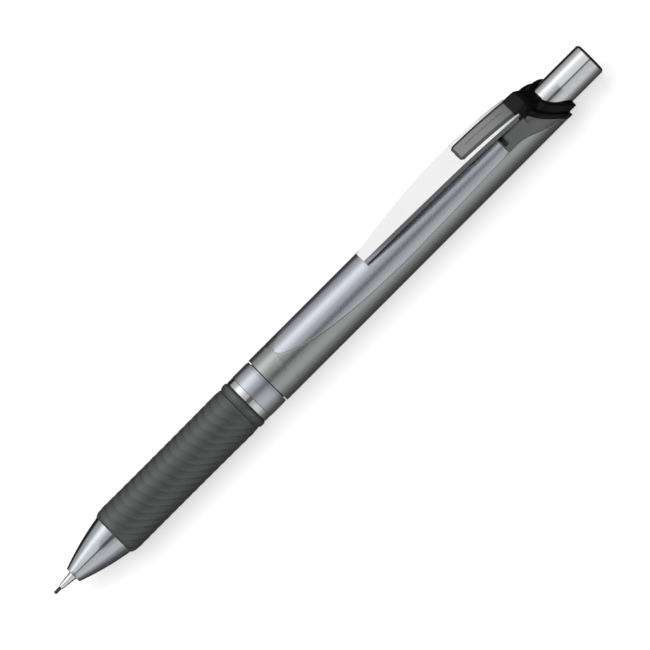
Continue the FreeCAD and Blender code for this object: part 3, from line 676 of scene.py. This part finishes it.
def metallic_paint(name, tint, gloss, flake):
    """Paint with fine metal flakes under a clear coat: flakes catch the light one by one."""
    finish = Finish(name, {"Metallic": 0.92, "Coat Roughness": 0.08})
    flakes = finish.node("ShaderNodeTexVoronoi", {"feature": "F1"},
                         {"Vector": finish.place(), "Scale": 1 / flake})
    sparkle = finish.node("ShaderNodeSeparateColor", {},
                          {0: Signal(finish, flakes.socket.node.outputs["Color"])})
    cloud = finish.noise(9 * MM, 2, (0.3, 1, 1))
    finish.varies({"Base Color": finish.blend(sparkle * 0.6 + cloud * 0.4,
                                              colour(*[part * 0.86 for part in tint]),
                                              colour(*[min(1, part * 1.14) for part in tint])),
                   "Roughness": finish.spread(sparkle, gloss, gloss + 0.08),
                   "Coat Weight": finish.spread(cloud, 0.3, 0.45)})
    finish.bumped(sparkle, 0.0001 * MM)
    return finish


barrel_paint = metallic_paint("barrel_paint", (0.375, 0.408, 0.392), 0.23, 0.07 * MM)
barrel_shape = barrel_skin(0, LEAF)
region = barrel_shape.faces.layers.int["region"]
bmesh.ops.recalc_face_normals(barrel_shape, faces=barrel_shape.faces)
sunk(barrel_shape, barrel_shape.faces[:], BARREL_WALL, True)
bmesh.ops.recalc_face_normals(barrel_shape, faces=barrel_shape.faces)


def is_outer(face):
    return all(vertex.co.yz.length > barrel_rear_radius - 0.02 * MM for vertex in face.verts)


def at_skin(edge):
    return any(is_outer(face) for face in edge.link_faces)


leaf_floor = [face for face in barrel_shape.faces if face[region] == LEAF and is_outer(face)]
sunk(barrel_shape, leaf_floor, LEAF_RECESS, False)
rounded(barrel_shape, SKIN_EDGE, 30, 2, at_skin)
finished("barrel_tube", barrel_shape, "root", barrel_paint, ["barrel"], evened=True)


# ---- leaf panel
# The leaf panel is a thin plate of satin silver plastic, curved like the barrel and pressed into its recess.
# Its edge is a little rounded and leaves a hair of a gap to the paint.

LEAF_THICK = 0.25 * MM
LEAF_SHARP_RUN = 1.2 * MM
leaf_silver = metallic_paint("leaf_silver", (0.52, 0.55, 0.605), 0.22, 0.05 * MM)


def drawn_in(shape, gap, start, end):
    """Narrows a panel for a gap between its flanks and the barrel, and at the ends that are given."""
    for vertex in shape.verts:
        radius = vertex.co.yz.length
        flank = flank_angle(vertex.co.x)
        turn = math.atan2(vertex.co.y, vertex.co.z)
        turn *= max(0, 1 - gap / radius / max(flank, 0.01))
        vertex.co.yz = (radius * math.sin(turn), radius * math.cos(turn))
        if start is not None and vertex.co.x < start + 2 * gap:
            vertex.co.x += gap
        if end is not None and vertex.co.x > end - 2 * gap:
            vertex.co.x -= gap


leaf_shape = barrel_skin(LEAF)
drawn_in(leaf_shape, PANEL_GAP, leaf_low.x, leaf_high.x)
bmesh.ops.recalc_face_normals(leaf_shape, faces=leaf_shape.faces)
sunk(leaf_shape, leaf_shape.faces[:], LEAF_THICK, True)
bmesh.ops.recalc_face_normals(leaf_shape, faces=leaf_shape.faces)
rounded(leaf_shape, SKIN_EDGE, 30, 2, lambda edge: at_skin(edge)
        and min(vertex.co.x for vertex in edge.verts) > leaf_low.x + LEAF_SHARP_RUN)
finished("leaf_plate", leaf_shape, "root", leaf_silver, ["leaf_panel"], evened=True)


# ---- saddle
# The saddle is smoke-grey plastic: a skin that fills the barrel's cut-out, and a block on it that carries
# the root of the clip, with a slot across in front. It is moulded in one with glossy faces.

BLOCK_FRONT = 1.3 * MM
BLOCK_TOP = 5.44 * MM
BLOCK_TOP_HALF = 2.60 * MM
BLOCK_FOOT_HALF = 3.60 * MM
BLOCK_FOOT = 3.55 * MM
BLOCK_ROUND = 0.28 * MM
BLOCK_LAP = 0.9 * MM
SLOT_FRONT = 0.2 * MM
SLOT_SHORT = 0.35 * MM
SLOT_HALF = 3.45 * MM
SLOT_FLOOR = 3.55 * MM


def joined(first, second, operation="UNION"):
    """Two closed shapes made one with a Boolean, or the second one cut out of the first."""
    made = []
    for shape in (first, second):
        mesh = bpy.data.meshes.new("part")
        shape.to_mesh(mesh)
        shape.free()
        made.append(bpy.data.objects.new("part", mesh))
        bpy.context.scene.collection.objects.link(made[-1])
    change = made[0].modifiers.new("join", "BOOLEAN")
    change.operation = operation
    change.solver = "EXACT"
    change.object = made[1]
    result = bmesh.new()
    result.from_object(made[0], bpy.context.evaluated_depsgraph_get())
    for item in made:
        bpy.data.objects.remove(item)
    bmesh.ops.dissolve_degenerate(result, edges=result.edges, dist=1e-8)
    return result


def prism(corners, height, place):
    """Closed straight shape over a flat outline; place turns (a, b, c) into a point, c from 0 to height."""
    shape = bmesh.new()
    base = shape.faces.new([shape.verts.new(place(a, b, 0)) for a, b in corners])
    pushed = bmesh.ops.extrude_face_region(shape, geom=[base], use_keep_orig=True)
    rise = Vector(place(0, 0, height)) - Vector(place(0, 0, 0))
    moved = [item for item in pushed["geom"] if isinstance(item, bmesh.types.BMVert)]
    bmesh.ops.translate(shape, vec=rise, verts=moved)
    bmesh.ops.recalc_face_normals(shape, faces=shape.faces)
    return shape


smoke_plastic = moulded("smoke_plastic", (0.150, 0.165, 0.160), 0.13, 1.2 * MM, 0.001 * MM, 0.1)
smoke_plastic.varies({"Coat Weight": 0.6, "Coat Roughness": 0.04})
saddle_shape = barrel_skin(SADDLE)
drawn_in(saddle_shape, PANEL_GAP, leaf_high.x, None)
bmesh.ops.recalc_face_normals(saddle_shape, faces=saddle_shape.faces)
sunk(saddle_shape, saddle_shape.faces[:], BARREL_WALL, True)
bmesh.ops.recalc_face_normals(saddle_shape, faces=saddle_shape.faces)
rounded(saddle_shape, SKIN_EDGE, 30, 2, at_skin)
block_corners = [(-BLOCK_FOOT_HALF, BLOCK_FOOT), (-BLOCK_TOP_HALF, BLOCK_TOP), (BLOCK_TOP_HALF, BLOCK_TOP),
                 (BLOCK_FOOT_HALF, BLOCK_FOOT)]
block_x = leaf_high.x + BLOCK_FRONT
slot_corners = [(-SLOT_HALF, SLOT_FLOOR), (-SLOT_HALF, BLOCK_TOP), (SLOT_HALF, BLOCK_TOP),
                (SLOT_HALF, SLOT_FLOOR)]
slot = prism(slot_corners, BLOCK_FRONT - SLOT_SHORT,
             lambda y, z, along: (leaf_high.x + SLOT_FRONT + along, y, z))
saddle_shape = joined(saddle_shape, slot, "DIFFERENCE")
block = prism(block_corners, toe_x + BLOCK_LAP - block_x, lambda y, z, along: (block_x + along, y, z))
rounded(block, BLOCK_ROUND, 40, 4,
        lambda edge: max(vertex.co.z for vertex in edge.verts) > BLOCK_TOP - 0.1 * MM
        or max(vertex.co.x for vertex in edge.verts) < block_x + 0.1 * MM)
finished("saddle_moulding", joined(saddle_shape, block), "root", smoke_plastic,
         ["clip_saddle"], 30, True)


# ---- clip
# The clip is pressed from one plated sheet: an arched top with rolled sides, hollow beneath, and a bead
# under its tip that holds on cloth. A window near its root takes the insert.

CLIP_DEPTH = 1.40 * MM
CLIP_SHEET = 0.50 * MM
CLIP_CROWN_RUN = 23.6 * MM
CLIP_TIP_TOP = 1.84 * MM
CLIP_ROOT_TOP = 1.94 * MM
CLIP_TIP_HALF = 1.20 * MM
CLIP_HALF = 2.86 * MM
CLIP_ROOT_HALF = 2.62 * MM
CLIP_WIDEST_RUN = 30.6 * MM
CLIP_ROLL = 0.55 * MM
CLIP_SOLID_ROOT = 4.0 * MM
CLIP_STATIONS = 56
BEAD_RUN = 2.6 * MM
BEAD_RADIUS = 0.65 * MM
WINDOW_LENGTH = 13.2 * MM
WINDOW_FRONT_HALF = 2.05 * MM
WINDOW_REAR_HALF = 2.20 * MM
WINDOW_CORNER = 0.9 * MM
clip_tip = clip_low.x
clip_root = clip_high.x
clip_crown = clip_tip + CLIP_CROWN_RUN


def arch(x):
    """Height of the clip's back above the axis."""
    if x < clip_crown:
        drop = clip_high.z - barrel_radius - CLIP_TIP_TOP
        return clip_high.z - drop * ((clip_crown - x) / CLIP_CROWN_RUN) ** 2
    drop = clip_high.z - barrel_radius - CLIP_ROOT_TOP
    return clip_high.z - drop * ((x - clip_crown) / (toe_x - clip_crown)) ** 2


def half_width(x):
    run = x - clip_tip
    if run < CLIP_WIDEST_RUN:
        return CLIP_HALF - (CLIP_HALF - CLIP_TIP_HALF) * ((CLIP_WIDEST_RUN - run) / CLIP_WIDEST_RUN) ** 2
    share = (run - CLIP_WIDEST_RUN) / (toe_x - clip_tip - CLIP_WIDEST_RUN)
    return CLIP_HALF - (CLIP_HALF - CLIP_ROOT_HALF) * share ** 2


def arched(shape, start, end, stations):
    """Cuts a flat shape across at even stations and lays it over the clip's arch, its top at height 0."""
    for number in range(1, stations):
        cut = (start + (end - start) * number / stations, 0, 0)
        bmesh.ops.bisect_plane(shape, geom=shape.verts[:] + shape.edges[:] + shape.faces[:], dist=1e-8,
                               plane_co=cut, plane_no=(1, 0, 0))
    for vertex in shape.verts:
        vertex.co.z += arch(vertex.co.x)


def flat(a, b, rise):
    return (a, b, -rise)


def window_plan(inset, end):
    """Outline of the clip's window, with rounded front corners, set in by a gap."""
    start = toe_x - WINDOW_LENGTH + inset
    front, rear, corner = WINDOW_FRONT_HALF - inset, WINDOW_REAR_HALF - inset, WINDOW_CORNER - inset
    side = []
    for number in range(9):
        turn = math.radians(90 * number / 8)
        side.append((start + corner * (1 - math.sin(turn)), front - corner * (1 - math.cos(turn))))
    return [(end, rear)] + side + [(x, -y) for x, y in side[::-1]] + [(end, -rear)]


sides = [clip_tip + (clip_root - clip_tip) * number / CLIP_STATIONS for number in range(CLIP_STATIONS + 1)]
clip_plan = [(x, half_width(x)) for x in sides] + [(x, -half_width(x)) for x in reversed(sides)]
clip_shape = prism(clip_plan, CLIP_DEPTH, flat)
rounded(clip_shape, CLIP_ROLL, 40, 6, lambda edge: edge.verts[0].co.x < clip_root - 1e-6
        and all(abs(vertex.co.z) < 1e-8 for vertex in edge.verts))
channel_plan = [(x, half_width(x) - CLIP_SHEET) for x in sides
                if clip_tip + CLIP_SHEET < x < toe_x - CLIP_SOLID_ROOT]
channel_plan += [(x, -y) for x, y in reversed(channel_plan)]
channel = prism(channel_plan, CLIP_DEPTH, lambda a, b, rise: (a, b, -CLIP_SHEET - rise))
clip_shape = joined(clip_shape, channel, "DIFFERENCE")
window = prism(window_plan(0, toe_x + 1 * MM), 2 * CLIP_SHEET,
               lambda a, b, rise: (a, b, CLIP_SHEET * 0.96 - rise))
clip_shape = joined(clip_shape, window, "DIFFERENCE")
arched(clip_shape, clip_tip, clip_root, CLIP_STATIONS)
bead = bmesh.new()
bead_foot = barrel_radius + 0.06 * MM
bead_top = arch(clip_tip + BEAD_RUN) - CLIP_SHEET / 2
bmesh.ops.create_cone(bead, cap_ends=True, segments=32, radius1=BEAD_RADIUS, radius2=BEAD_RADIUS,
                      depth=bead_top - bead_foot)
rounded(bead, 0.4 * MM, 40, 5, lambda edge: max(v.co.z for v in edge.verts) < 0)
bmesh.ops.translate(bead, verts=bead.verts, vec=(clip_tip + BEAD_RUN, 0, (bead_top + bead_foot) / 2))
clip_plate = bright_metal("clip_plate", (0.72, 0.72, 0.725), 0.16, 0.08)
finished("clip_pressing", joined(clip_shape, bead), "clip_arm", clip_plate, ["clip"], 30, True)


# ---- insert
# The insert is a smoke-grey plastic lens in the clip's window, with a sloped rim, a flat raised top and a
# long shallow groove along its middle.

INSERT_GAP = 0.06 * MM
INSERT_RIM = 0.55 * MM
INSERT_RISE = 0.30 * MM
INSERT_MATT_RIM = 0.55 * MM
INSERT_MATT_FADE = 0.12 * MM
GROOVE_START = 2.9 * MM
GROOVE_LENGTH = 8.6 * MM
GROOVE_HALF = 0.24 * MM
GROOVE_DEPTH = 0.07 * MM
insert_shape = prism(window_plan(INSERT_GAP, clip_root), CLIP_SHEET - 0.03 * MM, flat)
top_face = max(insert_shape.faces, key=lambda face: face.calc_center_median().z)
bmesh.ops.inset_region(insert_shape, faces=[top_face], thickness=INSERT_RIM, depth=INSERT_RISE,
                       use_even_offset=True)
rounded(insert_shape, 0.07 * MM, 20, 3, lambda edge: min(vertex.co.z for vertex in edge.verts) > -0.01 * MM
        and max(vertex.co.x for vertex in edge.verts) < clip_root - 0.01 * MM)
groove_x = toe_x - WINDOW_LENGTH + GROOVE_START
groove_plan = []
for centre, way in ((groove_x, 1), (groove_x + GROOVE_LENGTH, -1)):
    for number in range(9):
        turn = math.radians(-90 + 180 * number / 8)
        groove_plan.append((centre - way * GROOVE_HALF * math.cos(turn), way * GROOVE_HALF * math.sin(turn)))
groove = prism(groove_plan, 1 * MM, lambda a, b, rise: (a, b, INSERT_RISE - GROOVE_DEPTH + rise))
insert_shape = joined(insert_shape, groove, "DIFFERENCE")
arched(insert_shape, toe_x - WINDOW_LENGTH, clip_root, 18)
insert_smoke = moulded("insert_smoke", (0.050, 0.056, 0.055), 0.10, 1.2 * MM, 0.001 * MM, 0.1)
insert_smoke.varies({"Specular IOR Level": 1.0, "Coat Roughness": 0.03, "Coat IOR": 1.9})
off_middle = insert_smoke.node("ShaderNodeMath", {"operation": "ABSOLUTE"}, {0: insert_smoke.place(1)})
off_side = off_middle - (WINDOW_FRONT_HALF - INSERT_MATT_RIM)
off_front = (toe_x - WINDOW_LENGTH + INSERT_MATT_RIM) - insert_smoke.place(0)
off = insert_smoke.node("ShaderNodeMath", {"operation": "MAXIMUM"}, {0: off_side, 1: off_front})
clear = insert_smoke.node("ShaderNodeMath", {"operation": "SUBTRACT", "use_clamp": True},
                          {0: 0.3, 1: off * (1 / INSERT_MATT_FADE)})
insert_smoke.varies({"Coat Weight": clear})
finished("insert_lens", insert_shape, "clip_arm", insert_smoke, ["clip_insert"], 30, True)


# ---- collar
# The collar is smooth black plastic: two stepped rings that lean round the barrel's end, and a boss over the
# root of the clip. It is moulded in one and plugs into the barrel.

COLLAR_RING = 1.25 * MM
COLLAR_REAR_RING = 1.8 * MM
COLLAR_REAR_RADIUS = 4.44 * MM
COLLAR_ROUND = 0.16 * MM
PLUG_BORE = 3.56 * MM
BORE_ENDS = (100 * MM, 150 * MM)
BOSS_LENGTH = 6.1 * MM
BOSS_SLOPE = 2.7 * MM
BOSS_HALF = 2.70 * MM
BOSS_LAP = 0.95 * MM
BOSS_TAIL_HALF = 1.7 * MM
BOSS_ROUND = 1.1 * MM
ring_profile = [(0, PLUG_BORE), (0, barrel_radius), (COLLAR_RING, barrel_radius),
                (COLLAR_RING, COLLAR_REAR_RADIUS),
                (COLLAR_RING + COLLAR_REAR_RING, COLLAR_REAR_RADIUS),
                (COLLAR_RING + COLLAR_REAR_RING, PLUG_BORE)]
collar_shape = turned(ring_profile, 128, COLLAR_ROUND)
for vertex in collar_shape.verts:
    vertex.co.x += collar_edge(vertex.co.z)
boss_start = toe_x - BOSS_LAP
boss_top = arch(boss_start) + 0.05 * MM
boss_low = button_radius - 0.35 * MM
boss_side = [(boss_start, boss_low), (boss_start, boss_top)]
for number in range(15):
    share = number / 14
    boss_side.append((toe_x + BOSS_SLOPE + (BOSS_LENGTH - BOSS_SLOPE) * share,
                      boss_top - (boss_top - boss_low) * (share ** 1.9)))
boss = prism(boss_side, 2 * BOSS_HALF, lambda a, b, across: (a, across - BOSS_HALF, b))
for vertex in boss.verts:
    along = max(0, (vertex.co.x - toe_x) / BOSS_LENGTH)
    vertex.co.y *= 1 - (1 - BOSS_TAIL_HALF / BOSS_HALF) * along ** 2
rounded(boss, BOSS_ROUND, 40, 5, lambda edge: min(vertex.co.z for vertex in edge.verts) > boss_low - 1e-6 and
        max(vertex.co.z for vertex in edge.verts) > boss_low + 0.3 * MM)
shaft = turned([(BORE_ENDS[0], 0), (BORE_ENDS[0], PLUG_BORE), (BORE_ENDS[1], PLUG_BORE), (BORE_ENDS[1], 0)],
               96)
collar_shape = joined(joined(collar_shape, boss), shaft, "DIFFERENCE")
collar_black = moulded("collar_black", (0.010, 0.010, 0.011), 0.10, 2.5 * MM, 0.001 * MM, 0.1)
collar_black.varies({"Specular IOR Level": 0.12})
finished("collar_moulding", collar_shape, "root", collar_black, ["end_collar"], 30, True)
plug_plastic = moulded("plug_plastic", (0.02, 0.02, 0.021), 0.3, 0.5 * MM, 0.002 * MM)
dressed("tail_plug", plug_plastic)


# ---- floor, light and camera
# The lead holder lies on a plain white table inside a tent of soft light. The tent is bright above and in
# front, with a slot for the camera, and darker towards the floor. A grey card before the camera, seen only
# in the gloss, lays a dark stripe along the body.

CAMERA_HEIGHT = math.radians(55)
CAMERA_ROLL = math.radians(45)
CAMERA_LENS = 600
SEEN_WIDTH = 122.6 * MM
AIM_X = 71.84 * MM
AIM_UP = -0.24 * MM
TENT = [(-180, 0.05), (-150, 0.05), (-140, 0.004), (-127, 0.004), (-120, 0.12), (-112, 0.28), (-93, 0.37),
        (-81, 0.50), (-71, 0.80), (-63, 0.98), (-56, 0.98), (-51, 0.86), (-42, 0.70), (-34, 0.63),
        (-20, 0.60), (-2, 0.54), (0, 0.06), (2, 0.14), (6, 0.14), (8, 0.06), (10, 0.42),
        (32, 0.46), (48, 0.50), (68, 0.48), (80, 0.29), (92, 0.22), (104, 0.11), (118, 0.08),
        (141, 0.04), (180, 0.05)]
TENT_STRENGTH = 1.55
FLAG_DISTANCE = 200 * MM
FLAG_ENDS = (-90 * MM, 112 * MM)
FLAG_GLOW = [(-34, 0.57), (-25, 0.43), (-13, 0.36), (-6, 0.30), (-5, 0.10), (0, 0.09), (12, 0.10),
             (14, 0.30), (32, 0.40)]
floor_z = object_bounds()[0].z
floor_shape = bmesh.new()
bmesh.ops.create_grid(floor_shape, x_segments=2, y_segments=2, size=3)
bmesh.ops.translate(floor_shape, verts=floor_shape.verts, vec=(0, 0, floor_z))
floor_mesh = bpy.data.meshes.new("table")
floor_shape.to_mesh(floor_mesh)
floor_shape.free()
table = bpy.data.objects.new("table", floor_mesh)
bpy.context.scene.collection.objects.link(table)
table_white = Finish("table_white", {"Roughness": 0.9, "Specular IOR Level": 0.1, "Emission Strength": 1})
table_tone = table_white.noise(0.4, 1)
table_white.varies({"Base Color": table_white.blend(table_tone, colour(0.86, 0.86, 0.86),
                                                    colour(0.88, 0.88, 0.88)),
                    "Emission Color": colour(0.60, 0.60, 0.60)})
floor_mesh.materials.append(table_white.material)
table.visible_glossy = False
table.visible_diffuse = False
table.visible_shadow = False

world = bpy.data.worlds.new("tent")
bpy.context.scene.world = world
world.use_nodes = True
tent = NodeTree(world.node_tree)
way = tent.node("ShaderNodeTexCoord", output="Generated")
across_x = tent.node("ShaderNodeSeparateXYZ", {}, {"Vector": way}, 0)
across_y = tent.node("ShaderNodeSeparateXYZ", {}, {"Vector": way}, 1)
across_z = tent.node("ShaderNodeSeparateXYZ", {}, {"Vector": way}, 2)
towards = across_z * math.sin(CAMERA_HEIGHT) - across_y * math.cos(CAMERA_HEIGHT)
upwards = across_y * math.sin(CAMERA_HEIGHT) + across_z * math.cos(CAMERA_HEIGHT)
turn = tent.node("ShaderNodeMath", {"operation": "ARCTAN2"}, {0: upwards, 1: towards})
stops = [((180 + degrees) / 360, (level, level, level)) for degrees, level in TENT]
glow = tent.ramp(0.5 - turn / (2 * math.pi), stops)
ends = tent.ramp(across_x * 0.5 + 0.5, [(0, (0.05,) * 3), (0.08, (0.3,) * 3), (0.18, (1,) * 3),
                                        (0.62, (1,) * 3),
                                        (0.72, (0.12,) * 3), (1, (0.05,) * 3)])
light = tent.multiplied(glow, ends)
seen = tent.node("ShaderNodeLightPath", output="Is Camera Ray")
tent.feed(world.node_tree.nodes["Background"].inputs["Color"],
          tent.blend(seen, light, colour(0.62, 0.62, 0.62)))
world.node_tree.nodes["Background"].inputs["Strength"].default_value = TENT_STRENGTH

camera_data = bpy.data.cameras.new("camera")
camera_data.lens = CAMERA_LENS
camera = bpy.data.objects.new("camera", camera_data)
bpy.context.scene.collection.objects.link(camera)
back = Vector((0, -math.cos(CAMERA_HEIGHT), math.sin(CAMERA_HEIGHT)))
upright = Vector((0, math.sin(CAMERA_HEIGHT), math.cos(CAMERA_HEIGHT)))
sideways = Vector((1, 0, 0))
image_up = sideways * math.sin(CAMERA_ROLL) + upright * math.cos(CAMERA_ROLL)
image_right = image_up.cross(back)
aim = Vector((AIM_X, 0, 0)) + upright * AIM_UP
flag_mesh = bpy.data.meshes.new("flag")
flag_shape = bmesh.new()
flag_rises = [-FLAG_DISTANCE * math.tan(math.radians(degrees)) for degrees, glow in FLAG_GLOW]
flag_foot, flag_height = flag_rises[0], flag_rises[-1] - flag_rises[0]
flag_corners = [(FLAG_ENDS[0], flag_rises[0]), (FLAG_ENDS[1], flag_rises[0]),
                (FLAG_ENDS[1], flag_rises[-1]), (FLAG_ENDS[0], flag_rises[-1])]
flag_shape.faces.new([flag_shape.verts.new(sideways * x + upright * rise + back * FLAG_DISTANCE)
                      for x, rise in flag_corners])
flag_shape.to_mesh(flag_mesh)
flag_shape.free()
flag = bpy.data.objects.new("flag", flag_mesh)
bpy.context.scene.collection.objects.link(flag)
flag_grey = Finish("flag_grey", {"Base Color": colour(0, 0, 0), "Roughness": 1, "Specular IOR Level": 0,
                                 "Emission Strength": TENT_STRENGTH})
flag_rise = (flag_grey.place(1) * math.sin(CAMERA_HEIGHT) + flag_grey.place(2) * math.cos(CAMERA_HEIGHT))
flag_share = (flag_rise - flag_foot) * (1 / flag_height)
flag_stops = [((rise - flag_foot) / flag_height, (glow,) * 3)
              for rise, (degrees, glow) in zip(flag_rises, FLAG_GLOW)]
flag_grey.varies({"Emission Color": flag_grey.ramp(flag_share, flag_stops)})
flag_mesh.materials.append(flag_grey.material)
flag.visible_camera = False
flag.visible_shadow = False
flag.visible_diffuse = False
distance = SEEN_WIDTH * CAMERA_LENS / camera_data.sensor_width
camera.matrix_world = Matrix((image_right, image_up, back)).transposed().to_4x4()
camera.location = aim + back * distance
camera_data.clip_start = 0.01
bpy.context.scene.camera = camera
bpy.context.scene.view_settings.view_transform = "Standard"
